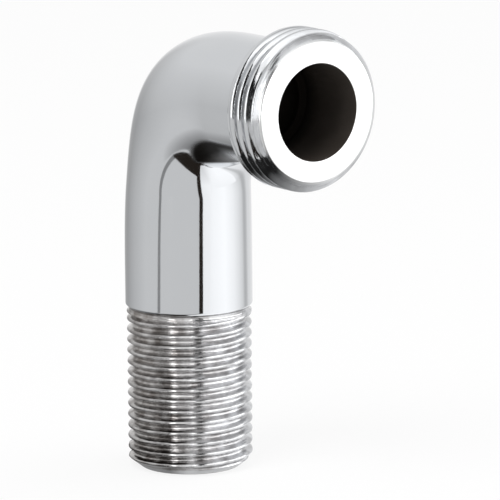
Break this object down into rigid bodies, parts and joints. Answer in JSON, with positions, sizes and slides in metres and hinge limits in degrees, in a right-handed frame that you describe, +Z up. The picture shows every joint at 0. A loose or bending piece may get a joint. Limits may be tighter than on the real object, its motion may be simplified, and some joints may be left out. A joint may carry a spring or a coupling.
{
  "type": "wall outlet elbow",
  "caption": "Chrome-plated one-piece elbow with a long male inlet thread on its leg and a short male hose thread around its open outlet.",
  "frame": {"origin": "centre of the inlet's flat end face, on the leg's axis", "axes": "+Z up the leg from the inlet to the bend, -Y out of the outlet, +X to the right of a viewer who faces the outlet"},
  "size_m": [0.0264, 0.0456, 0.0774],
  "materials": {
    "chrome_plating": "mirror polished"
  },
  "bodies": {
    "root": {"elbow_body": "chrome_plating"}
  },
  "joints": []
}
